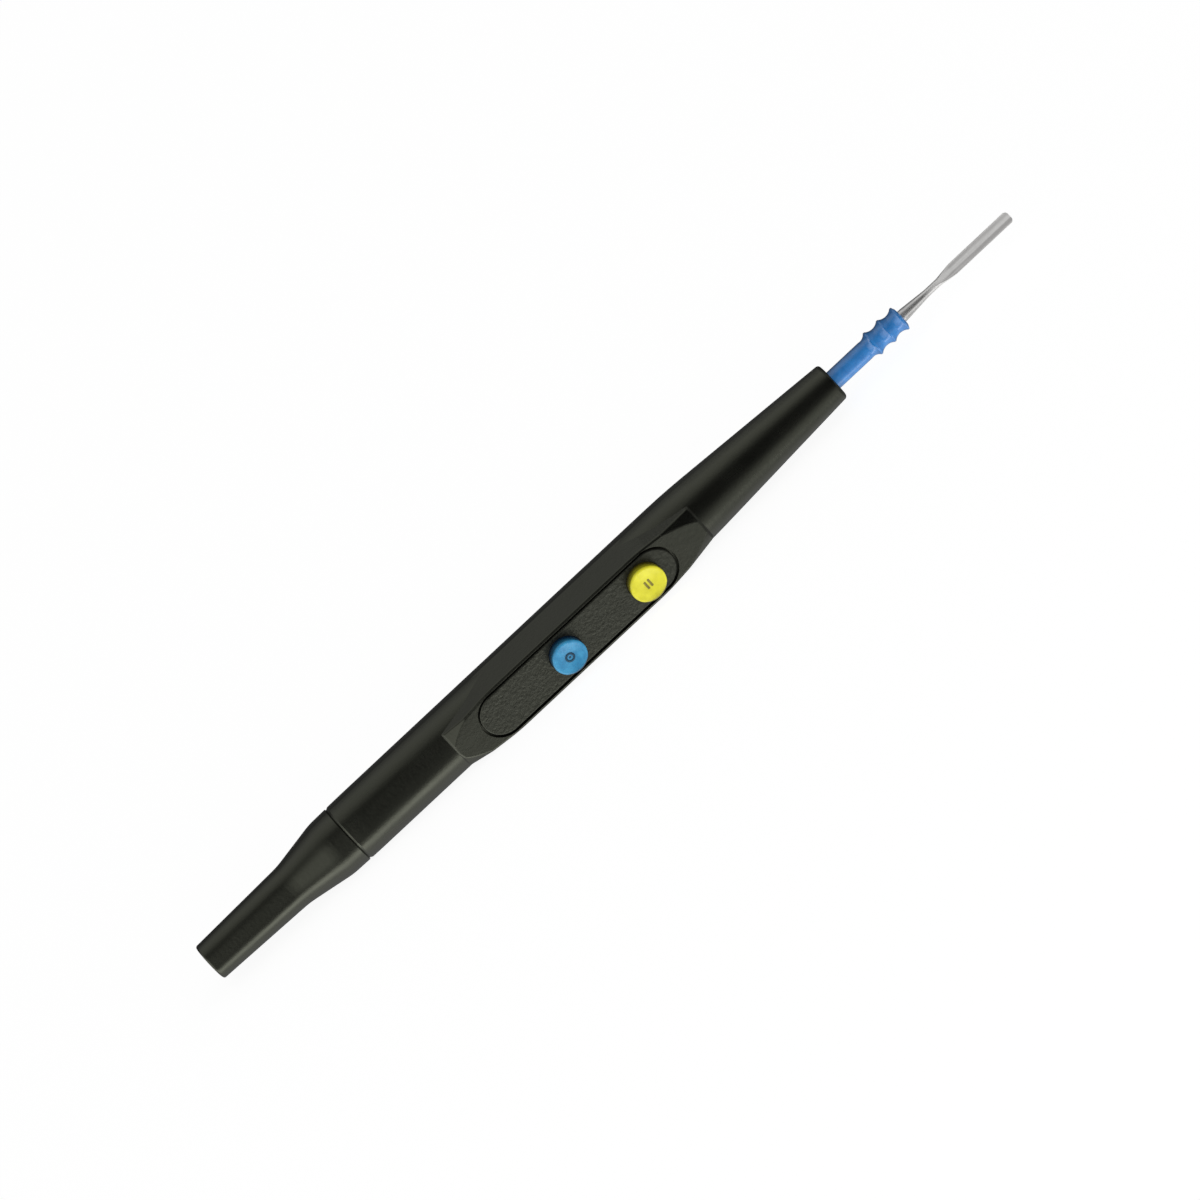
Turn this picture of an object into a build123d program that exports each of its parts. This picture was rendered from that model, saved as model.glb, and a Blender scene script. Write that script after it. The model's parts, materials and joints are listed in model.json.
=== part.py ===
from build123d import *
import os
from math import acos, atan2, cos, degrees, hypot, radians, sin, tan

# A hand-switched electrosurgical pencil. It is drawn with its axis along X, the tail's end
# at x = 0, the electrode towards +X and the two buttons facing +Z. The last lines lay it down
# on one slanted side of the button deck, as it would lie on a table. Millimetres.

# Outer form: tail, shoulder, barrel and nose, all round about the axis
body_length = 153.5
nose_length = 36.3
barrel_radius = 6.12
tail_end_radius = 3.85
tail_neck_radius = 4.42
tail_neck_x = 20.6
shoulder_radius = 6.0
shoulder_x = 29.9
barrel_start_x = 37.0
nose_tip_radius = 3.9
tail_edge_round = 0.45
neck_round = 16.0
shoulder_round = 14.0
barrel_blend = 150.0
nose_edge_round = 0.7

# Button deck: a flat top and two slanted sides, cut from a round bulge that runs down to the
# barrel at both ends. The sides touch the barrel in its tangent planes.
deck_rise = 0.18
deck_half_width = 5.25
deck_rear_x = 58.9
deck_rear_half_width = 4.05
deck_flat_rear_x = 69.3
deck_flat_front_x = 106.2
deck_front_x = 118.3
deck_front_half_width = 3.95
deck_edge_round = 0.5
deck_plan_bend = 40.0
deck_plan_reach = 2.0
bulge_rear_rise = 0.33
bulge_rear_slope = 0.26
bulge_front_rise = 0.3
bulge_front_slope = 0.19
bulge_margin = 0.5
bulge_bend = 12.0
bulge_end_round = 0.35
bulge_top_round = 0.5

# Shells
wall = 1.3
boot_chamfer = 0.14
shell_chamfer = 0.6
seam_depth = 0.33

# Switch cover, the plate let into the deck
cover_length = 45.9
cover_half_width = 4.36
cover_thickness = 1.0
cover_rear_x = 65.0
cover_edge_round = 0.3
cover_gap = 0.42

# Buttons
coag_x = 85.0
cut_x = 104.2
coag_radius = 3.4
cut_radius = 3.53
button_rise = 2.1
button_dish = 0.3
button_rim_round = 0.38
button_rim_width = 0.45
button_flange = 0.5
button_flange_thickness = 0.75
button_travel = 0.6
button_gap = 0.08
button_hole_gap = 0.12
button_head_room = 0.05
stem_radius = 1.3
stem_gap = 0.05

# Switch inside: board, snap domes and silicone seal
switch_depth = 2.7
board_thickness = 0.8
board_half_width = 4.0
board_rear_x = 77.5
board_front_x = 115.5
board_corner_round = 0.8
dome_radius = 2.4
dome_height = 0.4
dome_thickness = 0.15
dome_clearance = 0.02
seal_rear_x = 78.0
seal_front_x = 111.6
seal_half_width = 3.8
seal_sheet = 0.35
seal_skirt = 0.8
seal_height = 1.0
seal_lip_height = 0.22
seal_lip_width = 0.6
switch_bay_rear_x = 76.8
switch_bay_front_x = 112.6
clamp_rib_xs = (79.0, 94.6, 110.8)
support_rib_xs = (81.2, 94.6, 110.0)
rib_thickness = 1.0
rib_side_gap = 0.15

# Locating posts that join the two shells
rear_post_xs = (54.5, 71.0)
front_post_x = 117.9
front_post_y = 3.1
post_radius = 1.3
pin_radius = 0.7
pin_height = 2.2
pin_gap = 0.04

# Tail boot with the cable inlet
boot_length = 34.0
inlet_radius = 2.6
inlet_length = 14.0
inlet_chamfer = 0.35
receptacle_radius = 3.05
receptacle_length = 10.0
spigot_length = 8.0
spigot_gap = 0.05
spigot_root = 2.0
seal_setback = 2.4
flange_setback = 6.0
flange_width = 1.4
flange_radius = 5.2
o_ring_section = 1.0
o_ring_gap = 0.01
groove_width = 1.15

# Cable contacts and leads
contact_turns = (90, -30, 210)
contact_circle = 1.55
contact_radius = 0.75
contact_bore = 0.5
contact_bore_depth = 7.0
tag_radius = 0.5
tag_length = 2.0
tag_setback = 0.5
lead_radius = 0.55
lead_gap = 0.02
lead_bend = 9.0
lead_rise_length = 6.0
lead_landing = 1.0
lead_end_x = 79.6
cut_lead_y = 3.2
coag_lead_y = -2.9
active_lead_y = 2.9
active_lead_end_y = 1.4
lead_side_z = 0.9

# Electrode: one piece of steel with a moulded sleeve
shank_radius = 1.18
sleeve_radius = 1.89
sleeve_length = 23.7
sleeve_in_nose = 6.9
shank_bare_length = 19.7
rib_radius = 2.55
rib_count = 3
rib_pitch = 3.26
rib_tip_width = 0.3
rib_valley_rise = 0.1
rib_foot = 1.9
rib_foot_middle = 0.73
rib_foot_rise = 0.15
rib_end = 0.45
neck_radius = 0.72
neck_start = 0.7
neck_taper = 5.5
neck_length = 3.0
flare_length = 3.5
blade_width = 2.36
blade_thickness = 0.5
blade_length = 14.0
blade_corner = 0.75
blade_margin = 0.02
blade_turn = -30.0
shank_chamfer = 0.3

# Socket that grips the shank
socket_setback = 0.4
socket_gap = 0.04
socket_radius = 1.9
socket_length = 22.2
socket_plug = 1.8
socket_flange_radius = 2.4
socket_flange_width = 1.0
socket_slot_width = 0.4
socket_slot_length = 9.0
stop_thickness = 1.2
stop_gap = 0.05
bush_setback = 0.15
bush_radius = 3.0
bush_gap = 0.03
bush_bore_gap = 0.05
bush_rib_width = 1.2
bush_seat_length = 2.0
spring_width = 1.2
spring_thickness = 0.3
spring_setback = 3.4
spring_bay_length = 5.0
spring_opening = 50.0
nose_bore_gap = 0.07
nose_groove_setback = 4.2
strip_width = 1.6
strip_thickness = 0.3
strip_landing = 3.0
strip_bend = 0.6
strip_height = 1.0
strip_drop_length = 2.0
strip_opening_gap = 0.1

# How far a cut runs past the surface that it opens
overrun = 1.0

# Places worked out from the sizes above
room = 4 * barrel_radius
nose_start_x = body_length - nose_length
nose_slope = (barrel_radius - nose_tip_radius) / (body_length - nose_start_x)
inner_radius = barrel_radius - wall
deck_height = barrel_radius + deck_rise
corner_radius = hypot(deck_half_width, deck_height)
tangent_angle = atan2(deck_half_width, deck_height) + acos(barrel_radius / corner_radius)
side_slant = 90 - degrees(tangent_angle)
rest_turn = 90 + side_slant
cover_floor = deck_height - cover_thickness
bay_ceiling = cover_floor - wall
button_top = deck_height + button_rise
board_top = bay_ceiling - switch_depth
seal_top = board_top + seal_height
seal_groove_x = boot_length + seal_setback
flange_x = boot_length + flange_setback
sleeve_rear_x = body_length - sleeve_in_nose
sleeve_front_x = sleeve_rear_x + sleeve_length
shank_rear_x = sleeve_rear_x - shank_bare_length
neck_x = sleeve_front_x + neck_start
flare_x = neck_x + neck_taper + neck_length
tip_x = flare_x + flare_length + blade_length
socket_front_x = sleeve_rear_x - socket_setback
socket_rear_x = socket_front_x - socket_length
bush_front_x = sleeve_rear_x - bush_setback
bush_rear_x = socket_rear_x + socket_flange_width
board_bottom = board_top - board_thickness
stem_bottom = board_top + dome_height + dome_clearance + button_travel
receptacle_rear_x = inlet_length
receptacle_front_x = inlet_length + receptacle_length


def turned(corners, rounds=0.0):
    """A solid of revolution about the axis. The outline is (x, radius) corners, rounded in turn."""
    outline = FilletPolyline(*corners, radius=rounds)
    closing = Line(outline @ 1, outline @ 0)
    return revolve(make_face(outline + closing), Axis.X)


def ring(start_x, end_x, inner, outer):
    """A plain ring about the axis."""
    centre = Pos((start_x + end_x) / 2, 0, 0) * Rot(0, 90, 0)
    length = end_x - start_x
    return centre * (Cylinder(outer, length) - Cylinder(inner, length + overrun))


def stretch(start_x, end_x, low_z=-room, high_z=room):
    """The space between two planes across the axis, and between two heights."""
    middle = Pos((start_x + end_x) / 2, 0, (low_z + high_z) / 2)
    return middle * Box(end_x - start_x, 2 * room, high_z - low_z)


def disc(x, radius, low_z, high_z, y=0.0):
    """An upright cylinder at a place along the pencil, between two heights."""
    return Pos(x, y, (low_z + high_z) / 2) * Cylinder(radius, high_z - low_z)


def obround(rear_x, front_x, half_width, low_z, high_z):
    """A flat plate with round ends, between two heights."""
    outline = SlotOverall(front_x - rear_x, 2 * half_width)
    return extrude(Pos((rear_x + front_x) / 2, 0, low_z) * outline, high_z - low_z)


def round_body():
    """The whole outer form without its deck, from the tail's end to the nose's face."""
    corners = [
        (0, 0),
        (0, tail_end_radius),
        (tail_neck_x, tail_neck_radius),
        (shoulder_x, shoulder_radius),
        (barrel_start_x, barrel_radius),
        (nose_start_x, barrel_radius),
        (body_length, nose_tip_radius),
        (body_length, 0),
    ]
    rounds = [tail_edge_round, neck_round, shoulder_round, barrel_blend, barrel_blend, nose_edge_round]
    return turned(corners, rounds)


def deck_plan():
    """The deck's outline from above: straight sides that draw in towards both ends."""
    rear_slope = (deck_half_width - deck_rear_half_width) / (deck_flat_rear_x - deck_rear_x)
    front_slope = (deck_half_width - deck_front_half_width) / (deck_front_x - deck_flat_front_x)
    rear_x = deck_rear_x - deck_plan_reach
    front_x = deck_front_x + deck_plan_reach
    side = FilletPolyline(
        (rear_x, 0),
        (rear_x, deck_rear_half_width - rear_slope * deck_plan_reach),
        (deck_flat_rear_x, deck_half_width),
        (deck_flat_front_x, deck_half_width),
        (front_x, deck_front_half_width - front_slope * deck_plan_reach),
        (front_x, 0),
        radius=[0, deck_plan_bend, deck_plan_bend, 0],
    )
    return make_face(side + mirror(side, Plane.XZ))


def deck_bulge():
    """The round bulge that the deck is cut from, with its flat top."""
    rear_radius = barrel_radius + bulge_rear_rise
    front_radius = barrel_radius + bulge_front_rise
    full_radius = corner_radius + bulge_margin
    corners = [
        (deck_rear_x - rear_radius, 0),
        (deck_rear_x, rear_radius),
        (deck_rear_x + (full_radius - rear_radius) / bulge_rear_slope, full_radius),
        (deck_front_x - (full_radius - front_radius) / bulge_front_slope, full_radius),
        (deck_front_x, front_radius),
        (deck_front_x + front_radius, 0),
    ]
    bulge = turned(corners, [bulge_end_round, bulge_bend, bulge_bend, bulge_end_round])
    bulge &= stretch(0, body_length, 0, deck_height)
    return fillet(bulge.faces().sort_by(Axis.Z)[-1].edges(), bulge_top_round)


def deck():
    """The raised island under the buttons, with a rounded rim along both sides."""
    plan = Pos(0, 0, deck_height) * deck_plan()
    island = extrude(plan, deck_height, dir=(0, 0, -1), taper=-side_slant) & deck_bulge()
    walls = [face for face in island.faces() if abs(face.normal_at().Y) > 0.9]
    rim = []
    for edge in island.edges():
        near_walls = [face for face in walls if face.distance_to(edge @ 0.5) < 1e-4]
        if len(near_walls) == 1 and (edge @ 0.5).Z > deck_height / 4:
            rim.append(edge)
    return fillet(rim, deck_edge_round)


def nose_wall_radius(x):
    """The inside of the nose's wall at a place along the pencil."""
    return inner_radius - nose_slope * max(0, x - nose_start_x)


def cavity():
    """The round hollow inside the shells, with the seats for the boot, socket and seals."""
    seat = bush_radius + bush_gap
    stop_front = socket_rear_x - stop_gap
    stop_rear = stop_front - stop_thickness
    opening = strip_width + strip_opening_gap
    rib_front = bush_rear_x + bush_rib_width
    seat_x = bush_front_x - bush_seat_length
    bore = sleeve_radius + nose_bore_gap
    ring_outer = sleeve_radius + o_ring_gap + o_ring_section + o_ring_gap
    groove_x = body_length - nose_groove_setback
    corners = [
        (boot_length, 0),
        (boot_length, inner_radius),
        (flange_x - spigot_gap, inner_radius),
        (flange_x - spigot_gap, flange_radius + spigot_gap),
        (flange_x + flange_width + spigot_gap, flange_radius + spigot_gap),
        (flange_x + flange_width + spigot_gap, inner_radius),
        (nose_start_x, inner_radius),
        (stop_rear, nose_wall_radius(stop_rear)),
        (stop_rear, opening),
        (stop_front, opening),
        (stop_front, nose_wall_radius(stop_front)),
        (bush_rear_x, nose_wall_radius(bush_rear_x)),
        (bush_rear_x, seat),
        (rib_front, seat),
        (rib_front, nose_wall_radius(rib_front)),
        (seat_x, nose_wall_radius(seat_x)),
        (seat_x, seat),
        (bush_front_x + bush_gap, seat),
        (bush_front_x + bush_gap, bore),
        (groove_x, bore),
        (groove_x, ring_outer),
        (groove_x + groove_width, ring_outer),
        (groove_x + groove_width, bore),
        (body_length - inlet_chamfer, bore),
        (body_length + overrun, bore + inlet_chamfer + overrun),
        (body_length + overrun, 0),
    ]
    return turned(corners)


def switch_bay():
    """The widened hollow under the deck, with walls that follow the deck's slanted sides."""
    half_width = deck_half_width - wall + (deck_height - bay_ceiling) * tan(radians(side_slant))
    middle = (switch_bay_rear_x + switch_bay_front_x) / 2
    plan = Rectangle(switch_bay_front_x - switch_bay_rear_x, 2 * half_width)
    return extrude(Pos(middle, 0, bay_ceiling) * plan, bay_ceiling, dir=(0, 0, -1), taper=-side_slant)


def post_places():
    """Where the locating posts stand, as (x, y)."""
    rear = [(x, 0.0) for x in rear_post_xs]
    return rear + [(front_post_x, front_post_y), (front_post_x, -front_post_y)]


def cross_rib(x, low_z, high_z):
    """A rib across the pencil, between two heights."""
    width = 2 * (board_half_width - rib_side_gap)
    return Pos(x, 0, (low_z + high_z) / 2) * Box(rib_thickness, width, high_z - low_z)


def shell_halves():
    """The two shells, parted in the plane through the axis and across the buttons."""
    outer = (round_body() + deck()) & stretch(boot_length, body_length + overrun)
    outer -= seam_groove()
    hollow = cavity() + switch_bay()
    above_parting = stretch(0, body_length, 0, room)
    upper_block = outer & above_parting
    lower_block = outer & stretch(0, body_length, -room, 0)
    upper = upper_block - hollow
    lower = lower_block - hollow
    for x in clamp_rib_xs:
        upper += cross_rib(x, seal_top, bay_ceiling)
    for x in support_rib_xs:
        rib = cross_rib(x, -barrel_radius, board_bottom)
        lower += (rib & lower_block) + (rib & above_parting)
    for x, y in post_places():
        upper += disc(x, post_radius, 0, barrel_radius, y) & upper_block
        lower += disc(x, post_radius, -barrel_radius, 0, y) & lower_block
    for x, y in post_places():
        upper -= disc(x, pin_radius + pin_gap, 0, pin_height + pin_gap, y)
        lower += disc(x, pin_radius, 0, pin_height, y)
    pocket_rear = cover_rear_x - cover_gap
    pocket_front = cover_rear_x + cover_length + cover_gap
    upper -= obround(pocket_rear, pocket_front, cover_half_width + cover_gap, cover_floor, room)
    for x, radius in ((coag_x, coag_radius), (cut_x, cut_radius)):
        upper -= disc(x, radius + button_hole_gap, bay_ceiling - wall, deck_height)
    return upper, lower


def seam_groove():
    """A fine groove round the barrel where the boot meets the shells."""
    corners = [
        (boot_length - boot_chamfer, barrel_radius + overrun),
        (boot_length - boot_chamfer, barrel_radius),
        (boot_length, barrel_radius - seam_depth),
        (boot_length + shell_chamfer, barrel_radius),
        (boot_length + shell_chamfer, barrel_radius + overrun),
    ]
    return turned(corners)


def tail_boot():
    """The tail piece: cable inlet, receptacle seat, and a flanged spigot held by the shells."""
    spigot_radius = inner_radius - spigot_gap
    seat = receptacle_radius + bush_gap
    ring_floor = inner_radius - 2 * o_ring_gap - o_ring_section
    spigot = [
        (boot_length - spigot_root, 0),
        (boot_length - spigot_root, spigot_radius),
        (seal_groove_x, spigot_radius),
        (seal_groove_x, ring_floor),
        (seal_groove_x + groove_width, ring_floor),
        (seal_groove_x + groove_width, spigot_radius),
        (flange_x, spigot_radius),
        (flange_x, flange_radius),
        (flange_x + flange_width, flange_radius),
        (flange_x + flange_width, spigot_radius),
        (boot_length + spigot_length, spigot_radius),
        (boot_length + spigot_length, 0),
    ]
    passage = [
        (-overrun, 0),
        (-overrun, inlet_radius + inlet_chamfer + overrun),
        (inlet_chamfer, inlet_radius),
        (inlet_length, inlet_radius),
        (inlet_length, seat),
        (boot_length + spigot_length + overrun, seat),
        (boot_length + spigot_length + overrun, 0),
    ]
    outer = (round_body() & stretch(-overrun, boot_length)) - seam_groove()
    return outer + turned(spigot) - turned(passage)


def o_ring(middle_x, inner):
    """A round-section sealing ring about the axis."""
    section_radius = o_ring_section / 2
    return Pos(middle_x, 0, 0) * Rot(0, 90, 0) * Torus(inner + section_radius, section_radius)


def contact_places():
    """The three contacts' places in the receptacle, as (y, z): active, cut and coag."""
    places = []
    for turn in contact_turns:
        places.append((contact_circle * cos(radians(turn)), contact_circle * sin(radians(turn))))
    return places


def cable_receptacle():
    """The insulator that holds the three cable contacts."""
    middle = (receptacle_rear_x + receptacle_front_x) / 2
    body = Pos(middle, 0, 0) * Rot(0, 90, 0) * Cylinder(receptacle_radius, receptacle_length)
    for y, z in contact_places():
        body -= Pos(middle, y, z) * Rot(0, 90, 0) * Cylinder(contact_radius, 2 * receptacle_length)
    return body


def contact(y, z):
    """A contact tube, open towards the inlet, with a solder tag at its front."""
    tube_end = receptacle_front_x + tag_setback
    corners = [
        (receptacle_rear_x + contact_bore_depth, 0),
        (receptacle_rear_x + contact_bore_depth, contact_bore),
        (receptacle_rear_x, contact_bore),
        (receptacle_rear_x, contact_radius),
        (tube_end, contact_radius),
        (tube_end, tag_radius),
        (tube_end + tag_length, tag_radius),
        (tube_end + tag_length, 0),
    ]
    return Pos(0, y, z) * turned(corners)


def lead(place, side, end):
    """An insulated wire from a contact's tag, along the barrel's side, to the board's rear end."""
    start_x = receptacle_front_x + tag_setback + tag_length
    bend_x = boot_length + spigot_length + lead_radius
    points = [
        (start_x, *place),
        (bend_x, *place),
        (bend_x + lead_bend, *side),
        (board_rear_x - lead_rise_length, *side),
        (board_rear_x - lead_landing, *end),
        (lead_end_x, *end),
    ]
    path = FilletPolyline(*points, radius=lead_bend / 2)
    section = Plane(origin=points[0], z_dir=(1, 0, 0)) * Circle(lead_radius)
    return sweep(section, path=path)


def leads():
    """The three leads, which end against the underside of the board."""
    end_z = board_bottom - lead_radius - lead_gap
    active, cut, coag = contact_places()
    return {
        "active_lead": lead(active, (active_lead_y, lead_side_z), (active_lead_end_y, end_z)),
        "cut_lead": lead(cut, (cut_lead_y, -lead_side_z), (cut_lead_y, end_z)),
        "coag_lead": lead(coag, (coag_lead_y, lead_side_z), (coag_lead_y, end_z)),
    }


def switch_cover():
    """The obround plate let into the deck, with a round hole for each button."""
    front_x = cover_rear_x + cover_length
    plate = obround(cover_rear_x, front_x, cover_half_width, cover_floor, deck_height)
    plate = fillet(plate.faces().sort_by(Axis.Z)[-1].edges(), cover_edge_round)
    for x, radius in ((coag_x, coag_radius), (cut_x, cut_radius)):
        plate -= disc(x, radius + button_gap, cover_floor - overrun, deck_height + overrun)
    return plate


def button(x, radius):
    """A round cap with a shallow dish, a holding flange under the shell and a stem."""
    flange_top = bay_ceiling - button_head_room
    flange_bottom = flange_top - button_flange_thickness
    rim_radius = radius - button_rim_width
    dish_floor = button_top - button_dish
    dish_middle = (rim_radius / 2, dish_floor + button_dish / 4)
    dish = ThreePointArc((0, dish_floor), dish_middle, (rim_radius, button_top))
    side = FilletPolyline(
        (rim_radius, button_top),
        (radius, button_top),
        (radius, flange_top),
        radius=button_rim_round,
    )
    under = Polyline(
        (radius, flange_top),
        (radius + button_flange, flange_top),
        (radius + button_flange, flange_bottom),
        (stem_radius, flange_bottom),
        (stem_radius, stem_bottom),
        (0, stem_bottom),
        (0, dish_floor),
    )
    half = make_face(dish + side + under)
    return Pos(x, 0, 0) * revolve(Plane.XZ * half, Axis.Z)


def snap_dome(x):
    """A thin domed spring disc on the board, as it is when pressed through."""
    ball_radius = (dome_radius**2 + dome_height**2) / (2 * dome_height)
    centre_z = board_top + dome_height - ball_radius
    shell = Sphere(ball_radius) - Sphere(ball_radius - dome_thickness)
    return (Pos(x, 0, centre_z) * shell) & stretch(x - room, x + room, board_top, room)


def switch_seal():
    """A silicone cap over the domes, with a lipped hole that wipes each button's stem."""
    sheet_floor = seal_top - seal_sheet
    inner_half = seal_half_width - seal_skirt
    cap = obround(seal_rear_x, seal_front_x, seal_half_width, board_top, seal_top)
    cap -= obround(seal_rear_x + seal_skirt, seal_front_x - seal_skirt, inner_half, board_top, sheet_floor)
    for x in (coag_x, cut_x):
        cap += disc(x, stem_radius + stem_gap + seal_lip_width, sheet_floor, seal_top + seal_lip_height)
        cap -= disc(x, stem_radius + stem_gap, board_top, seal_top + overrun)
    return cap


def circuit_board():
    """The switch board, with rounded corners."""
    length = board_front_x - board_rear_x
    outline = RectangleRounded(length, 2 * board_half_width, board_corner_round)
    middle = (board_rear_x + board_front_x) / 2
    return extrude(Pos(middle, 0, board_bottom) * outline, board_thickness)


def contact_strip():
    """A bent strip from the socket's rear face up onto the board's front end."""
    middle_x = socket_rear_x - strip_thickness / 2
    landing_z = board_top + strip_thickness / 2
    path = FilletPolyline(
        (middle_x, 0, -strip_height),
        (middle_x, 0, strip_height),
        (board_front_x + strip_drop_length, 0, strip_height),
        (board_front_x, 0, landing_z),
        (board_front_x - strip_landing, 0, landing_z),
        radius=strip_bend,
    )
    section = Plane(origin=path @ 0, z_dir=(0, 0, 1)) * Rectangle(strip_thickness, strip_width)
    return sweep(section, path=path)


def electrode_socket():
    """The slotted brass tube that grips the shank, with a flange behind the bush."""
    bore = shank_radius + socket_gap
    groove_rear = socket_front_x - spring_setback
    corners = [
        (socket_rear_x, 0),
        (socket_rear_x, socket_flange_radius),
        (bush_rear_x, socket_flange_radius),
        (bush_rear_x, socket_radius),
        (groove_rear, socket_radius),
        (groove_rear, socket_radius - spring_thickness / 2),
        (groove_rear + spring_width + 2 * stem_gap, socket_radius - spring_thickness / 2),
        (groove_rear + spring_width + 2 * stem_gap, socket_radius),
        (socket_front_x, socket_radius),
        (socket_front_x, bore),
        (socket_rear_x + socket_plug, bore),
        (socket_rear_x + socket_plug, 0),
    ]
    tube = turned(corners)
    slot_middle = socket_front_x + (overrun - socket_slot_length) / 2
    slot = Box(socket_slot_length + overrun, 4 * socket_radius, socket_slot_width)
    for turn in (0, 90):
        tube -= Pos(slot_middle, 0, 0) * Rot(turn, 0, 0) * slot
    return tube


def socket_spring():
    """The open ring that presses the socket's fingers onto the shank."""
    rear = socket_front_x - spring_setback + stem_gap
    inner = socket_radius - spring_thickness / 2
    spring = ring(rear, rear + spring_width, inner, inner + spring_thickness)
    half_angle = radians(spring_opening / 2)
    reach = 3 * socket_radius
    wedge = Polyline(
        (0, 0),
        (reach * sin(half_angle), reach * cos(half_angle)),
        (-reach * sin(half_angle), reach * cos(half_angle)),
        close=True,
    )
    across = Plane(origin=(rear - overrun, 0, 0), x_dir=(0, 1, 0), z_dir=(1, 0, 0))
    opening = extrude(across * make_face(wedge), spring_width + 2 * overrun)
    return spring - opening


def socket_bush():
    """The insulating bush between the socket and the shells, bored out round the spring ring."""
    bay = socket_radius + spring_thickness / 2 + 2 * bush_bore_gap
    corners = [
        (bush_rear_x, socket_radius + bush_bore_gap),
        (bush_rear_x, bush_radius),
        (bush_front_x, bush_radius),
        (bush_front_x, bay),
        (bush_front_x - spring_bay_length, bay),
        (bush_front_x - spring_bay_length, socket_radius + bush_bore_gap),
    ]
    return turned(corners)


def electrode_sleeve():
    """The moulded sleeve on the shank, with sharp finger ribs at its front."""
    last_rib = sleeve_front_x - rib_end
    first_rib = last_rib - (rib_count - 1) * rib_pitch
    half_tip = rib_tip_width / 2
    valley = sleeve_radius + rib_valley_rise
    foot_x = first_rib - rib_foot
    lines = [
        Line((sleeve_rear_x, shank_radius), (sleeve_rear_x, sleeve_radius)),
        Line((sleeve_rear_x, sleeve_radius), (foot_x, sleeve_radius)),
    ]
    rise = ThreePointArc(
        (foot_x, sleeve_radius),
        (first_rib - rib_foot_middle, sleeve_radius + rib_foot_rise),
        (first_rib - half_tip, rib_radius),
    )
    lines.append(rise)
    for index in range(rib_count):
        rib_x = first_rib + index * rib_pitch
        lines.append(Line((rib_x - half_tip, rib_radius), (rib_x + half_tip, rib_radius)))
        if index < rib_count - 1:
            start = (rib_x + half_tip, rib_radius)
            low = (rib_x + rib_pitch / 2, valley)
            end = (rib_x + rib_pitch - half_tip, rib_radius)
            lines.append(ThreePointArc(start, low, end))
    lines.append(Line((last_rib + half_tip, rib_radius), (sleeve_front_x, sleeve_radius)))
    lines.append(Line((sleeve_front_x, sleeve_radius), (sleeve_front_x, shank_radius)))
    lines.append(Line((sleeve_front_x, shank_radius), (sleeve_rear_x, shank_radius)))
    return revolve(make_face(Curve() + lines), Axis.X)


def electrode():
    """One steel rod: round shank, waisted neck, and a front end flattened into a blade."""
    blade_start = flare_x + flare_length
    half_width = blade_width / 2
    rod = turned(
        [
            (shank_rear_x, 0),
            (shank_rear_x, shank_radius),
            (neck_x, shank_radius),
            (neck_x + neck_taper, neck_radius),
            (flare_x, neck_radius),
            (blade_start, half_width),
            (tip_x, half_width),
            (tip_x, 0),
        ],
        [shank_chamfer, neck_taper, neck_taper, flare_length, flare_length, 0],
    )
    half_thick = blade_thickness / 2
    top = FilletPolyline(
        (shank_rear_x, 2 * shank_radius),
        (neck_x, 2 * shank_radius),
        (flare_x - neck_length / 2, neck_radius + blade_margin),
        (blade_start, half_thick),
        (tip_x, half_thick),
        radius=[neck_taper, flare_length, flare_length],
    )
    ends = Line(top @ 0, (shank_rear_x, 0)) + Line(top @ 1, (tip_x, 0))
    side_view = make_face(top + ends + mirror(top + ends, Plane.XZ))
    pressed = rod & extrude(Plane.XZ * side_view, room, both=True)
    length = tip_x - shank_rear_x
    outline = RectangleRounded(length, blade_width + blade_margin, blade_corner)
    plan = Pos((tip_x + shank_rear_x) / 2, 0) * outline
    keep = extrude(plan, room, both=True) + stretch(shank_rear_x - overrun, blade_start)
    return Rot(blade_turn, 0, 0) * (pressed & keep)


def all_parts():
    """Every piece by name, with the pencil's axis along X and the buttons facing +Z."""
    upper, lower = shell_halves()
    active, cut, coag = contact_places()
    ring_floor = inner_radius - 2 * o_ring_gap - o_ring_section
    parts = {
        "housing_upper": upper,
        "housing_lower": lower,
        "tail_boot": tail_boot(),
        "tail_seal": o_ring(seal_groove_x + groove_width / 2, ring_floor + o_ring_gap),
        "cable_receptacle": cable_receptacle(),
        "active_contact": contact(*active),
        "cut_contact": contact(*cut),
        "coag_contact": contact(*coag),
        "switch_cover": switch_cover(),
        "cut_button": button(cut_x, cut_radius),
        "coag_button": button(coag_x, coag_radius),
        "cut_dome": snap_dome(cut_x),
        "coag_dome": snap_dome(coag_x),
        "switch_seal": switch_seal(),
        "circuit_board": circuit_board(),
        "contact_strip": contact_strip(),
        "electrode_socket": electrode_socket(),
        "socket_spring": socket_spring(),
        "socket_bush": socket_bush(),
        "nose_seal": o_ring(body_length - nose_groove_setback + groove_width / 2, sleeve_radius + o_ring_gap),
        "electrode_sleeve": electrode_sleeve(),
        "electrode": electrode(),
    }
    parts.update(leads())
    return parts


def resting_shift(shapes):
    """The move that centres the turned pencil over the origin and sets it on z = 0."""
    box = Compound(list(shapes)).bounding_box()
    centre = box.center()
    return Vector(-centre.X, -centre.Y, -box.min.Z)


lying_down = {name: Rot(rest_turn, 0, 0) * shape for name, shape in all_parts().items()}
rest_shift = resting_shift(lying_down.values())

os.makedirs("parts", exist_ok=True)
for name, shape in lying_down.items():
    export_step(Pos(rest_shift) * shape, f"parts/{name}.step")
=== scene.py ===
import bpy
import json
from math import cos, pi, radians, sin
from mathutils import Matrix, Vector


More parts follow.
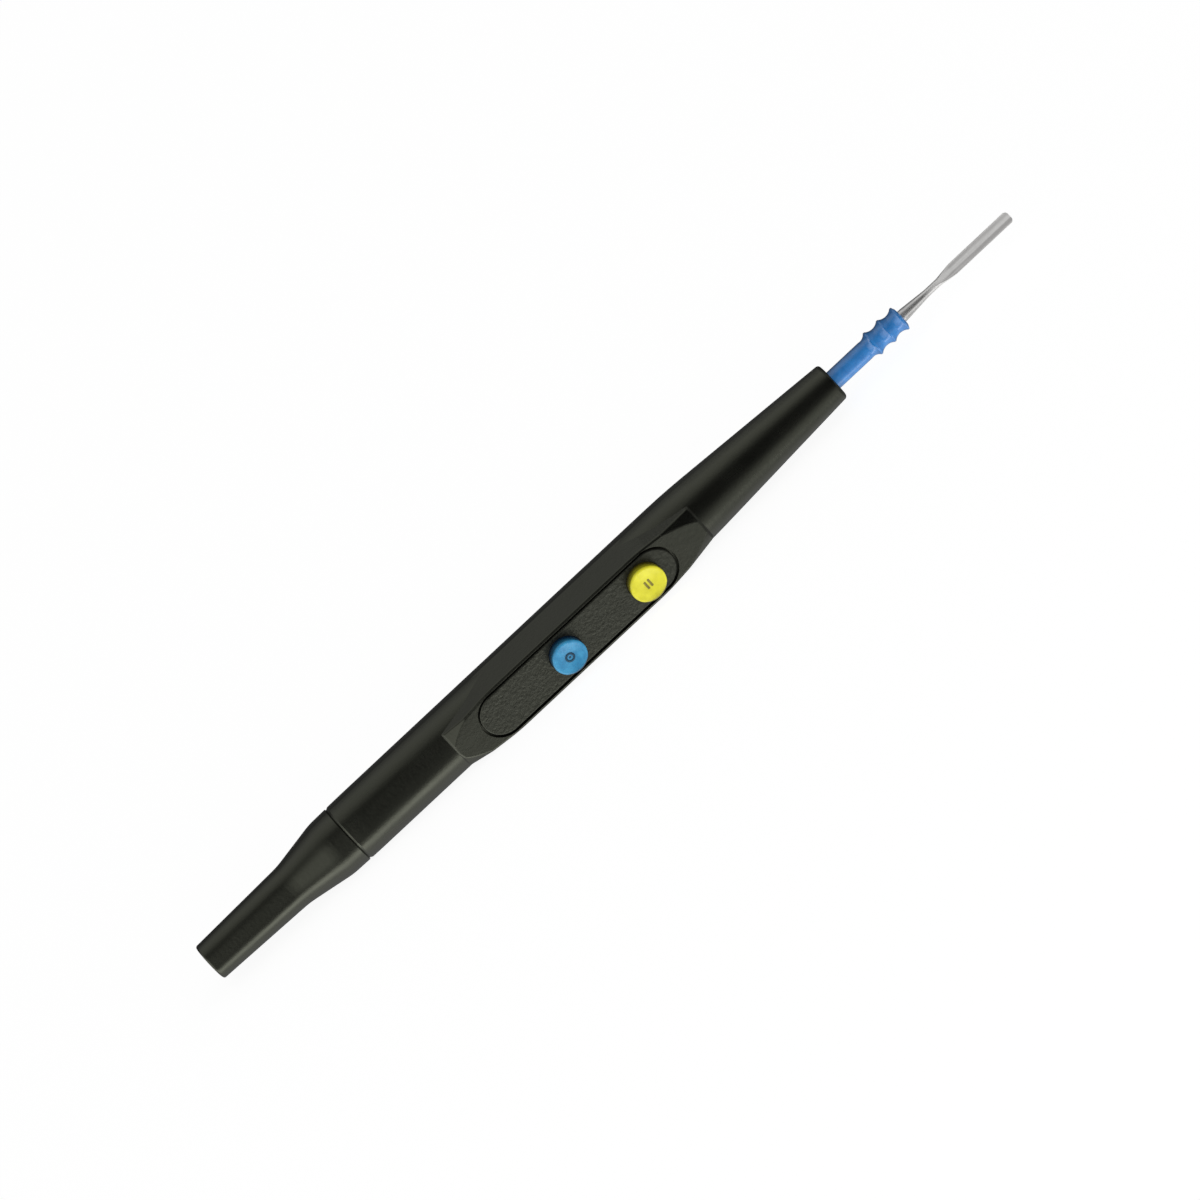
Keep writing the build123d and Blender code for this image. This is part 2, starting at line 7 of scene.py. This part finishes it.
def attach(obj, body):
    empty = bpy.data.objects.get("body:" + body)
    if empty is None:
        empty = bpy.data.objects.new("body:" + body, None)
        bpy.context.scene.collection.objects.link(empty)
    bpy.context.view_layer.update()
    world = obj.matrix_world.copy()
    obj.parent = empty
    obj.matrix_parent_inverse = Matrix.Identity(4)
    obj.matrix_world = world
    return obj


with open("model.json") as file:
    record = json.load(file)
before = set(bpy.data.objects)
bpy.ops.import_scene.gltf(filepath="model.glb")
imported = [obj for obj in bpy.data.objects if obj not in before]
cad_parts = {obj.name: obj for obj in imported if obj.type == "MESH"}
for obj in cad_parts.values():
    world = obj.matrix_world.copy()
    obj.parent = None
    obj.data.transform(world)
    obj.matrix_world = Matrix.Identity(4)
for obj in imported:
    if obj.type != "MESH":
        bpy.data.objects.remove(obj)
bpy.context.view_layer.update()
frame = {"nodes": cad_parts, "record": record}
nodes = frame["nodes"]

# The photograph's frame is 1200 pixels wide, at 0.18 mm a pixel. The camera stands on the
# buttons' side, looks down a little, and is rolled so that the pencil runs corner to corner.
FRAME_WIDTH = 0.216
CAMERA_ELEVATION = 21.54
CAMERA_LENS = 200.0
SENSOR_WIDTH = 36.0
CLIP_START = 0.01
CLIP_END = 20
ACROSS_X = 0.7307
ACROSS_UP = -0.6827
AXIS_Y = 0.001328
AXIS_Z = 0.00612
AIM_X = -0.0026
AIM_DOWN = 0.00022


def add_camera():
    """The photograph's view: the pencil's axis rises to the upper right."""
    tilt = radians(CAMERA_ELEVATION)
    back = Vector((0, -cos(tilt), sin(tilt)))
    upper_left = Vector((0, sin(tilt), cos(tilt)))
    along = Vector((1, 0, 0))
    right = along * ACROSS_X + upper_left * ACROSS_UP
    up = along * -ACROSS_UP + upper_left * ACROSS_X
    aim = Vector((AIM_X, AXIS_Y, AXIS_Z)) - upper_left * AIM_DOWN
    distance = FRAME_WIDTH * CAMERA_LENS / SENSOR_WIDTH
    data = bpy.data.cameras.new("photo_camera")
    data.lens = CAMERA_LENS
    data.sensor_width = SENSOR_WIDTH
    data.clip_start = CLIP_START
    data.clip_end = CLIP_END
    camera = bpy.data.objects.new("photo_camera", data)
    turn = Matrix((right, up, back)).transposed().to_4x4()
    camera.matrix_world = Matrix.Translation(aim + back * distance) @ turn
    bpy.context.scene.collection.objects.link(camera)
    bpy.context.scene.camera = camera


# Sockets of the mix node, which share their names: the factor, then the two values or colours
MIX_FACTOR = 0
MIX_VALUES = (2, 3)
MIX_COLOURS = (6, 7)
MIX_VALUE_OUT = 0
MIX_COLOUR_OUT = 2
# How far a normal rounded over an edge agrees with the plain one, on a face and on a sharp edge
AGREE_ON_FACE = 0.995
AGREE_ON_EDGE = 0.9
# The open share of the surroundings, low between pieces and high in the open; the painted shade in
# corners runs between them
OPEN_DEEP = 0.68
OPEN_FREE = 0.97


class Shader:
    """A material's node tree, with short calls to add and join nodes."""

    def __init__(self, tree):
        self.tree = tree
        tree.nodes.clear()

    def add(self, kind, **values):
        node = self.tree.nodes.new(kind)
        for name, value in values.items():
            setattr(node, name, value)
        return node

    def join(self, source, target):
        self.tree.links.new(source, target)

    def feed(self, socket, value):
        """A socket gets a value or another node's output."""
        if isinstance(value, bpy.types.NodeSocket):
            self.join(value, socket)
        else:
            socket.default_value = value

    def set(self, node, **inputs):
        """Each input, by its name with _ for a space, gets a value or another node's output."""
        for name, value in inputs.items():
            self.feed(node.inputs[name.replace("_", " ")], value)
        return node

    def place(self, scale=(1, 1, 1)):
        """Object coordinates in metres, stretched by a scale for each axis."""
        coords = self.add("ShaderNodeTexCoord")
        mapping = self.add("ShaderNodeMapping")
        self.set(mapping, Vector=coords.outputs["Object"], Scale=scale)
        return mapping.outputs["Vector"]

    def noise(self, scale, detail=3.0, roughness=0.5, stretch=(1, 1, 1)):
        node = self.add("ShaderNodeTexNoise")
        self.set(node, Vector=self.place(stretch), Scale=scale, Detail=detail, Roughness=roughness)
        return node.outputs["Fac"]

    def ramp(self, value, low, high, at_low=0.0, at_high=1.0):
        """Maps a value from low..high to at_low..at_high, and holds it beyond."""
        node = self.add("ShaderNodeMapRange")
        self.set(node, Value=value, From_Min=low, From_Max=high, To_Min=at_low, To_Max=at_high)
        return node.outputs["Result"]

    def blend(self, factor, first, second):
        """A colour between two, by a factor."""
        node = self.add("ShaderNodeMix", data_type="RGBA", blend_type="MIX")
        self.feed(node.inputs[MIX_FACTOR], factor)
        for key, colour in zip(MIX_COLOURS, (first, second)):
            plain = not isinstance(colour, bpy.types.NodeSocket)
            self.feed(node.inputs[key], (*colour, 1) if plain else colour)
        return node.outputs[MIX_COLOUR_OUT]

    def mix(self, factor, first, second):
        """A value between two, by a factor."""
        node = self.add("ShaderNodeMix", data_type="FLOAT")
        self.feed(node.inputs[MIX_FACTOR], factor)
        for key, value in zip(MIX_VALUES, (first, second)):
            self.feed(node.inputs[key], value)
        return node.outputs[MIX_VALUE_OUT]

    def math(self, kind, first, second):
        node = self.add("ShaderNodeMath", operation=kind)
        self.feed(node.inputs[0], first)
        self.feed(node.inputs[1], second)
        return node.outputs[0]

    def bump(self, height, distance, normal=None):
        node = self.add("ShaderNodeBump")
        self.set(node, Height=height, Distance=distance, Strength=1.0)
        if normal is not None:
            self.join(normal, node.inputs["Normal"])
        return node.outputs["Normal"]

    def edge(self, radius):
        """1 on an edge that sticks out and 0 on a face, by the normal rounded over a radius."""
        soft = self.add("ShaderNodeBevel", samples=4)
        self.set(soft, Radius=radius)
        plain = self.add("ShaderNodeNewGeometry")
        dot = self.add("ShaderNodeVectorMath", operation="DOT_PRODUCT")
        self.join(soft.outputs["Normal"], dot.inputs[0])
        self.join(plain.outputs["Normal"], dot.inputs[1])
        return self.ramp(dot.outputs["Value"], AGREE_ON_FACE, AGREE_ON_EDGE)

    def corner_shade_mask(self, reach):
        """Mask for painted shade: 0 in a corner closed in by pieces, and 1 in the open."""
        node = self.add("ShaderNodeAmbientOcclusion", samples=8)
        self.set(node, Distance=reach)
        return self.ramp(node.outputs["AO"], OPEN_DEEP, OPEN_FREE)

    def principled(self, **inputs):
        node = self.add("ShaderNodeBsdfPrincipled")
        self.set(node, **inputs)
        out = self.add("ShaderNodeOutputMaterial")
        self.join(node.outputs["BSDF"], out.inputs["Surface"])


def new_material(name):
    made = bpy.data.materials.new(name)
    made.use_nodes = True
    return made, Shader(made.node_tree)


# Noise scales are in features a metre. A ramp stretches the middle of a noise's values.
MIDDLE = (0.3, 0.7)
EDGE_RADIUS = 0.00025
EDGE_WEAR = 0.6
# How far the painted shade in corners looks for nearby pieces, in metres
CORNER_SHADE_REACH = 0.003
BLOTCH_SCALE = 1500.0
BUTTON_CLOUD = 700.0
SMEAR_SCALE = 450
SMEAR_STRETCH = (0.25, 1, 1)
GLOSS_SPREAD = (0.85, 1.2)
COAT_SMOOTHER = 0.6


def moulded_plastic(
    name, dark, light, rough, grain_size, grain_depth, tint=(1, 1, 1), level=0.5, coat=0.0,
    worn=None, blotch=0.0, cloud_scale=160.0, painted_corner_shade=None,
):
    """Moulded plastic: cloudy colour, a fine grain and uneven gloss.

    Edges are worn towards one colour, and corners between pieces are darkened towards another as
    painted shade.
    """
    made, s = new_material(name)
    cloud = s.ramp(s.noise(cloud_scale, 4), *MIDDLE)
    colour = s.blend(cloud, dark, light)
    if worn:
        wear = s.math("MULTIPLY", s.edge(EDGE_RADIUS), EDGE_WEAR)
        colour = s.blend(wear, colour, worn)
    # Painted shade: the colour darkens towards the given one in corners closed in by other pieces
    if painted_corner_shade:
        colour = s.blend(s.corner_shade_mask(CORNER_SHADE_REACH), painted_corner_shade, colour)
    grain = s.noise(1 / grain_size, 2)
    normal = s.bump(grain, grain_depth)
    if blotch:
        normal = s.bump(s.noise(BLOTCH_SCALE, 3, 0.55), blotch, normal=normal)
    smear = s.noise(SMEAR_SCALE, 3, 0.6, SMEAR_STRETCH)
    glossy, dull = GLOSS_SPREAD
    s.principled(
        Base_Color=colour,
        Roughness=s.ramp(smear, *MIDDLE, rough * glossy, rough * dull),
        Specular_IOR_Level=level,
        Specular_Tint=(*tint, 1),
        Coat_Weight=coat,
        Coat_Roughness=rough * COAT_SMOOTHER,
        Normal=normal,
    )
    return made


# Lines of drawn or turned metal run along the axis whose coordinate is squeezed
LENGTHWAYS = (0.02, 1, 1)
ROUNDWAYS = (1, 0.05, 0.05)
LINE_SCALE = 9000
LINE_DEPTH = 0.000004
BAND_SCALE = 900
BAND_RANGE = (0.35, 0.65)
LINE_SPREAD = (0.7, 1.35)


def brushed_metal(name, colour, shade, rough, along):
    """Drawn or turned metal, with fine lines along one direction."""
    made, s = new_material(name)
    lines = s.noise(LINE_SCALE, 3, 0.6, along)
    broad = s.ramp(s.noise(BAND_SCALE, 2, 0.5, along), *BAND_RANGE)
    smooth, coarse = LINE_SPREAD
    s.principled(
        Base_Color=s.blend(broad, shade, colour),
        Metallic=1.0,
        Roughness=s.ramp(lines, *MIDDLE, rough * smooth, rough * coarse),
        Normal=s.bump(lines, LINE_DEPTH),
    )
    return made


# The neck ends and the blade begins at this x
NECK_END = 0.079
NECK_BLEND = 0.002
NECK_ROUGH, BLADE_ROUGH = 0.24, 0.42
NECK_METALLIC, BLADE_METALLIC = 0.85, 0.4
BLADE_BAND_SCALE = 1300
BLADE_BAND_RANGE = (0.38, 0.62)
BLADE_LINE_SPREAD = (0.8, 1.25)
BLADE_SHADE = (0.62, 0.61, 0.6)
BLADE_LIGHT = (0.97, 0.96, 0.945)


def electrode_steel():
    """Stainless steel, bright drawn on the neck and satin ground on the blade."""
    made, s = new_material("blade_metal")
    lines = s.noise(LINE_SCALE, 3, 0.6, LENGTHWAYS)
    broad = s.ramp(s.noise(BLADE_BAND_SCALE, 2, 0.5, LENGTHWAYS), *BLADE_BAND_RANGE)
    split = s.add("ShaderNodeSeparateXYZ")
    s.join(s.place(), split.inputs[0])
    ground = s.ramp(split.outputs[0], NECK_END - NECK_BLEND, NECK_END + NECK_BLEND)
    rough = s.mix(ground, NECK_ROUGH, BLADE_ROUGH)
    s.principled(
        Base_Color=s.blend(broad, BLADE_SHADE, BLADE_LIGHT),
        Metallic=s.mix(ground, NECK_METALLIC, BLADE_METALLIC),
        Roughness=s.math("MULTIPLY", rough, s.ramp(lines, *MIDDLE, *BLADE_LINE_SPREAD)),
        Normal=s.bump(lines, LINE_DEPTH),
    )
    return made


RUBBER_CLOUD = 400
RUBBER_GRAIN = 7000
RUBBER_DEPTH = 0.000012


def soft_rubber(name, dark, light, rough):
    """Matt rubber: cloudy colour and a fine grain."""
    made, s = new_material(name)
    s.principled(
        Base_Color=s.blend(s.ramp(s.noise(RUBBER_CLOUD, 4), *MIDDLE), dark, light),
        Roughness=rough,
        Normal=s.bump(s.noise(RUBBER_GRAIN, 2), RUBBER_DEPTH),
    )
    return made


# The black plastics' reflections are a little green, and their edges a little paler
OLIVE = (0.96, 1.0, 0.78)
BLACK_DARK = (0.0032, 0.0033, 0.003)
BLACK_LIGHT = (0.0055, 0.0056, 0.005)
BLACK_WORN = (0.022, 0.023, 0.018)
BLACK_LEVEL = 0.85
BLACK_BLOTCH = 0.00002


def make_materials():
    """One material for each of the record's slots. Grain sizes and depths are in metres."""
    return {
        "housing": moulded_plastic(
            "housing_plastic", BLACK_DARK, BLACK_LIGHT, rough=0.24,
            grain_size=0.00016, grain_depth=0.000005,
            tint=OLIVE, level=BLACK_LEVEL, worn=BLACK_WORN, blotch=BLACK_BLOTCH,
        ),
        "boot": moulded_plastic(
            "boot_plastic", (0.0032, 0.0033, 0.0029), BLACK_LIGHT, rough=0.23,
            grain_size=0.00018, grain_depth=0.000004,
            tint=OLIVE, level=BLACK_LEVEL, worn=BLACK_WORN, blotch=BLACK_BLOTCH,
        ),
        "cover": moulded_plastic(
            "cover_plastic", (0.0025, 0.0026, 0.0023), (0.0105, 0.0107, 0.0095), rough=0.33,
            grain_size=0.00012, grain_depth=0.000014,
            tint=OLIVE, level=0.72, worn=(0.035, 0.036, 0.03), blotch=0.0001,
            cloud_scale=BLOTCH_SCALE,
        ),
        "cut_yellow": moulded_plastic(
            "yellow_plastic", (0.78, 0.73, 0.016), (0.92, 0.87, 0.035), rough=0.3,
            grain_size=0.00014, grain_depth=0.000005, coat=0.3,
            # Painted shade: dark olive where the button's side meets the deck
            cloud_scale=BUTTON_CLOUD, painted_corner_shade=(0.08, 0.066, 0.006),
        ),
        "coag_blue": moulded_plastic(
            "blue_plastic", (0.02, 0.235, 0.47), (0.05, 0.36, 0.64), rough=0.3,
            grain_size=0.00014, grain_depth=0.000005, coat=0.3,
            # Painted shade: navy where the button's side meets the deck
            cloud_scale=BUTTON_CLOUD, painted_corner_shade=(0.003, 0.02, 0.055),
        ),
        "sleeve_blue": moulded_plastic(
            "sleeve_plastic", (0.018, 0.2, 0.58), (0.032, 0.27, 0.72), rough=0.25,
            grain_size=0.00025, grain_depth=0.000003, coat=1.0,
            cloud_scale=BUTTON_CLOUD, level=0.8,
        ),
        "insulator": moulded_plastic(
            "natural_nylon", (0.55, 0.52, 0.43), (0.64, 0.61, 0.52), rough=0.42,
            grain_size=0.0002, grain_depth=0.000006,
        ),
        "lead_insulation": moulded_plastic(
            "lead_plastic", (0.42, 0.42, 0.4), (0.52, 0.52, 0.49), rough=0.36,
            grain_size=0.0002, grain_depth=0.000004,
        ),
        "board": moulded_plastic(
            "board_mask", (0.006, 0.07, 0.025), (0.01, 0.1, 0.035), rough=0.3,
            grain_size=0.00012, grain_depth=0.000008, coat=0.5,
        ),
        "blade_steel": electrode_steel(),
        "spring_steel": brushed_metal(
            "spring_metal", (0.6, 0.59, 0.56), (0.5, 0.49, 0.47), rough=0.26, along=ROUNDWAYS,
        ),
        "contact_brass": brushed_metal(
            "brass", (0.78, 0.58, 0.25), (0.66, 0.48, 0.2), rough=0.28, along=ROUNDWAYS,
        ),
        "silicone": soft_rubber(
            "grey_silicone", (0.28, 0.28, 0.27), (0.34, 0.34, 0.33), rough=0.55,
        ),
        "seal_rubber": soft_rubber(
            "nitrile", (0.012, 0.012, 0.012), (0.02, 0.02, 0.02), rough=0.48,
        ),
    }


def dress_nodes():
    """Every CAD node gets the material of its slot."""
    made = make_materials()
    for part in frame["record"]["subparts"]:
        shown = nodes[part["node"]]
        for slot in shown.material_slots:
            slot.material = made[part["material_slot"]]


TABLE_HALF = 6.0
# The table's light on other things, its own light as it is seen, and the grey that takes shadow
TABLE_LIT = 1.1
TABLE_GLOW = 0.9
TABLE_GREY = (0.35, 0.35, 0.35, 1)


def add_floor():
    """A white lit table. Seen directly it is white, with the shadow of the pencil on it."""
    data = bpy.data.meshes.new("table_top")
    half = TABLE_HALF
    corners = [(-half, -half, 0), (half, -half, 0), (half, half, 0), (-half, half, 0)]
    data.from_pydata(corners, [], [(0, 1, 2, 3)])
    floor = bpy.data.objects.new("table_top", data)
    bpy.context.scene.collection.objects.link(floor)
    made, s = new_material("white_table")
    path = s.add("ShaderNodeLightPath")
    seen = s.math(
        "MAXIMUM", path.outputs["Is Camera Ray"], path.outputs["Is Transmission Ray"],
    )
    plain = s.set(s.add("ShaderNodeEmission"), Strength=TABLE_LIT)
    shade = s.set(s.add("ShaderNodeBsdfDiffuse"), Color=TABLE_GREY)
    glow = s.set(s.add("ShaderNodeEmission"), Strength=TABLE_GLOW)
    direct = s.add("ShaderNodeAddShader")
    s.join(shade.outputs[0], direct.inputs[0])
    s.join(glow.outputs[0], direct.inputs[1])
    first = s.add("ShaderNodeMixShader")
    s.join(seen, first.inputs[0])
    s.join(plain.outputs[0], first.inputs[1])
    s.join(direct.outputs[0], first.inputs[2])
    out = s.add("ShaderNodeOutputMaterial")
    s.join(first.outputs[0], out.inputs["Surface"])
    data.materials.append(made)
    floor.visible_glossy = False


# What reflections see round the pencil: the level at each angle from the front horizon, upwards
# over the top and downwards over the lit table, in degrees.
STUDIO = (
    (-180, 0.1), (-150, 0.18), (-120, 0.42), (-105, 0.6), (-95, 0.8), (-88, 0.92), (-78, 0.92),
    (-73, 1.15), (-68, 1.6), (-63, 2.25), (-58, 2.8), (-54, 2.8), (-50, 2.45), (-46, 1.75),
    (-42, 0.9), (-38, 0.38), (-34, 0.25), (-30, 0.18), (-26, 0.12), (-16, 0.06), (0, 0.02),
    (38, 0.02), (46, 0.04), (52, 0.09), (60, 0.2), (73, 0.5), (90, 0.72), (110, 0.74),
    (125, 0.5), (141, 0.14), (180, 0.1),
)
# The same for reflections that lean towards the electrode, as the nose's do
STUDIO_NOSE = (
    (-180, 0.1), (-150, 0.2), (-120, 0.5), (-104, 0.72), (-82, 0.72), (-64, 0.6), (-48, 0.8),
    (-34, 0.95), (-20, 0.55), (-7, 0.16), (8, 0.03), (36, 0.03), (46, 0.09), (55, 0.2),
    (67, 0.5), (81, 0.8), (110, 0.95), (125, 0.7), (141, 0.3), (180, 0.1),
)
# The highest level that the three curves' colour ramps hold
STUDIO_TOP = 3.0
# What is added in front for reflections that lean towards the tail, by how far they lean
TAIL_GLOW = (
    (-1.0, 1.5), (-0.75, 1.6), (-0.5, 1.1), (-0.33, 0.85), (-0.2, 0.6), (-0.1, 0.28),
    (-0.03, 0.08), (0.0, 0.0),
)
# A ramp's low and high, and for some its values there. A lean is a ray's x, and an angle is
# measured as in STUDIO.
NOSE_LEAN = (0.04, 0.09)
END_ON_LEAN = (0.2, 0.42, 1.0, 0.5)
OVERHEAD_LEAN = (0.125, 0.15, 1.0, 0.4)
OVERHEAD_ANGLE = (105, 112)
FRONT_FROM_ABOVE = (78, 30)
FRONT_FROM_BELOW = (-60, -10)
TAIL_END_LEAN = (-0.75, -0.9)
# The soft light that shows matt colours: it comes from the front and below more than from behind
SKY_BACKWARDS, SKY_UPWARDS = 0.9, 0.45
SKY_LEVELS = (0.55, -0.75, 0.2, 0.7)


def level_ramp(s, value, low, high, stops):
    """A smooth curve through (place, level) stops."""
    node = s.add("ShaderNodeValToRGB")
    s.join(s.ramp(value, low, high), node.inputs["Fac"])
    points = node.color_ramp.elements
    points.remove(points[1])
    for index, (place, level) in enumerate(stops):
        share = (place - low) / (high - low)
        point = points[0] if index == 0 else points.new(share)
        point.position = share
        point.color = (level / STUDIO_TOP, level / STUDIO_TOP, level / STUDIO_TOP, 1)
    return s.math("MULTIPLY", node.outputs["Color"], STUDIO_TOP)


def add_world():
    """A studio: open and dark in front, bright above and behind, over a lit table."""
    world = bpy.data.worlds.new("studio")
    bpy.context.scene.world = world
    world.use_nodes = True
    s = Shader(world.node_tree)
    path = s.add("ShaderNodeLightPath")
    coords = s.add("ShaderNodeTexCoord")
    split = s.add("ShaderNodeSeparateXYZ")
    s.join(coords.outputs["Generated"], split.inputs[0])
    x, y, z = split.outputs
    angle = s.math("MULTIPLY", s.math("ARCTAN2", z, s.math("MULTIPLY", y, -1.0)), 180 / pi)
    base = level_ramp(s, angle, -180, 180, STUDIO)
    nose = level_ramp(s, angle, -180, 180, STUDIO_NOSE)
    base = s.mix(s.ramp(x, *NOSE_LEAN), base, nose)
    end_on = s.ramp(x, *END_ON_LEAN)
    overhead = s.ramp(x, *OVERHEAD_LEAN)
    share = s.mix(s.ramp(angle, *OVERHEAD_ANGLE), end_on, overhead)
    base = s.math("MULTIPLY", base, share)
    glow = level_ramp(s, x, -1.0, 0.0, TAIL_GLOW)
    in_front = s.math(
        "MULTIPLY", s.ramp(angle, *FRONT_FROM_ABOVE), s.ramp(angle, *FRONT_FROM_BELOW),
    )
    near_front = s.math("MAXIMUM", in_front, s.ramp(x, *TAIL_END_LEAN))
    mirrored = s.math("MAXIMUM", base, s.math("MULTIPLY", glow, near_front))
    lean = s.math(
        "ADD", s.math("MULTIPLY", y, SKY_BACKWARDS), s.math("MULTIPLY", z, SKY_UPWARDS),
    )
    lighting = s.ramp(lean, *SKY_LEVELS)
    strength = s.mix(path.outputs["Is Glossy Ray"], lighting, mirrored)
    seen = s.mix(path.outputs["Is Camera Ray"], strength, 1.0)
    sky = s.set(s.add("ShaderNodeBackground"), Strength=seen)
    out = s.add("ShaderNodeOutputWorld")
    s.join(sky.outputs[0], out.inputs["Surface"])


LAMP_PLACE = (0.1, -0.9, 0.08)
LAMP_TARGET = (0, 0, 0.006)
LAMP_SIZE = (0.9, 0.3)
LAMP_POWER = 1.5


def add_lamp():
    """A soft rectangular lamp in front, which reflections don't show."""
    data = bpy.data.lights.new("front_softbox", "AREA")
    data.shape = "RECTANGLE"
    data.size, data.size_y = LAMP_SIZE
    data.energy = LAMP_POWER
    lamp = bpy.data.objects.new("front_softbox", data)
    away = Vector(LAMP_PLACE) - Vector(LAMP_TARGET)
    turn = away.to_track_quat("Z", "Y").to_matrix().to_4x4()
    lamp.matrix_world = Matrix.Translation(LAMP_PLACE) @ turn
    lamp.visible_glossy = False
    bpy.context.scene.collection.objects.link(lamp)


# The buttons' plain raised marks. Places are in the pencil's own frame in millimetres: x from
# the tail's end, across the deck, and out from the axis through the buttons.
MILLIMETRE = 0.001
PENCIL_MIDDLE = 98.5
SIDE_SLANT = radians(8.463)
DECK_OUT = Vector((0, -cos(SIDE_SLANT), -sin(SIDE_SLANT)))
DECK_ACROSS = Vector((0, -sin(SIDE_SLANT), cos(SIDE_SLANT)))
DISH_FLOOR = 8.1
DISH_DEPTH = 0.3
RIM_WIDTH = 0.45
MARK_RADIUS = 0.3
MARK_SUNK = 0.2
COAG_X, COAG_RADIUS = 85.0, 3.4
RING_RADIUS = 0.8
RING_POINTS = 12
DOT_HALF = 0.12
CUT_X, CUT_RADIUS = 104.2, 3.53
BAR_OFFSET = 0.42
BAR_HALF = 0.8
BAR_STEP = 0.2
BAR_POINTS = 9


def dish_point(centre_x, radius, along, across):
    """A point under a button's dished top, for the middle of a mark's line."""
    reach = (along ** 2 + across ** 2) / (radius - RIM_WIDTH) ** 2
    out = DISH_FLOOR + DISH_DEPTH * reach - MARK_SUNK
    x = centre_x + along - PENCIL_MIDDLE
    axis = Vector((x * MILLIMETRE, AXIS_Y, AXIS_Z))
    return axis + (DECK_ACROSS * across + DECK_OUT * out) * MILLIMETRE


def mark_plastic(name, dark, light):
    return moulded_plastic(
        name, dark, light, rough=0.4, grain_size=0.00014, grain_depth=0.000005,
        cloud_scale=BUTTON_CLOUD,
    )


def add_mark(name, node, material, lines):
    """A raised mark on a button, of round-edged lines that follow its dished top."""
    data = bpy.data.curves.new(name, "CURVE")
    data.dimensions = "3D"
    data.bevel_depth = MARK_RADIUS * MILLIMETRE
    data.bevel_resolution = 4
    data.resolution_u = 6
    data.use_fill_caps = True
    for points, closed in lines:
        spline = data.splines.new("NURBS")
        spline.points.add(len(points) - 1)
        for point, place in zip(spline.points, points):
            point.co = (*place, 1)
        spline.order_u = 3
        spline.use_cyclic_u = closed
        spline.use_endpoint_u = not closed
    mark = bpy.data.objects.new(name, data)
    bpy.context.scene.collection.objects.link(mark)
    data.materials.append(material)
    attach(mark, node)


def add_marks():
    """A ring and a dot for coagulation, and two bars for cutting."""
    ring = []
    for i in range(RING_POINTS):
        turn = 2 * pi * i / RING_POINTS
        along, across = RING_RADIUS * cos(turn), RING_RADIUS * sin(turn)
        ring.append(dish_point(COAG_X, COAG_RADIUS, along, across))
    dot = [
        dish_point(COAG_X, COAG_RADIUS, along, 0.0) for along in (-DOT_HALF, 0.0, DOT_HALF)
    ]
    blue = mark_plastic("blue_mark", (0.004, 0.04, 0.085), (0.01, 0.08, 0.14))
    add_mark("coag_mark", "coag_button", blue, [(ring, True), (dot, False)])
    steps = [-BAR_HALF + BAR_STEP * i for i in range(BAR_POINTS)]
    bars = [
        ([dish_point(CUT_X, CUT_RADIUS, along, across) for across in steps], False)
        for along in (-BAR_OFFSET, BAR_OFFSET)
    ]
    yellow = mark_plastic("yellow_mark", (0.2, 0.17, 0.02), (0.32, 0.27, 0.04))
    add_mark("cut_mark", "cut_button", yellow, bars)


add_camera()
dress_nodes()
add_marks()
add_floor()
add_world()
add_lamp()

settings = bpy.context.scene.view_settings
settings.view_transform = "Standard"
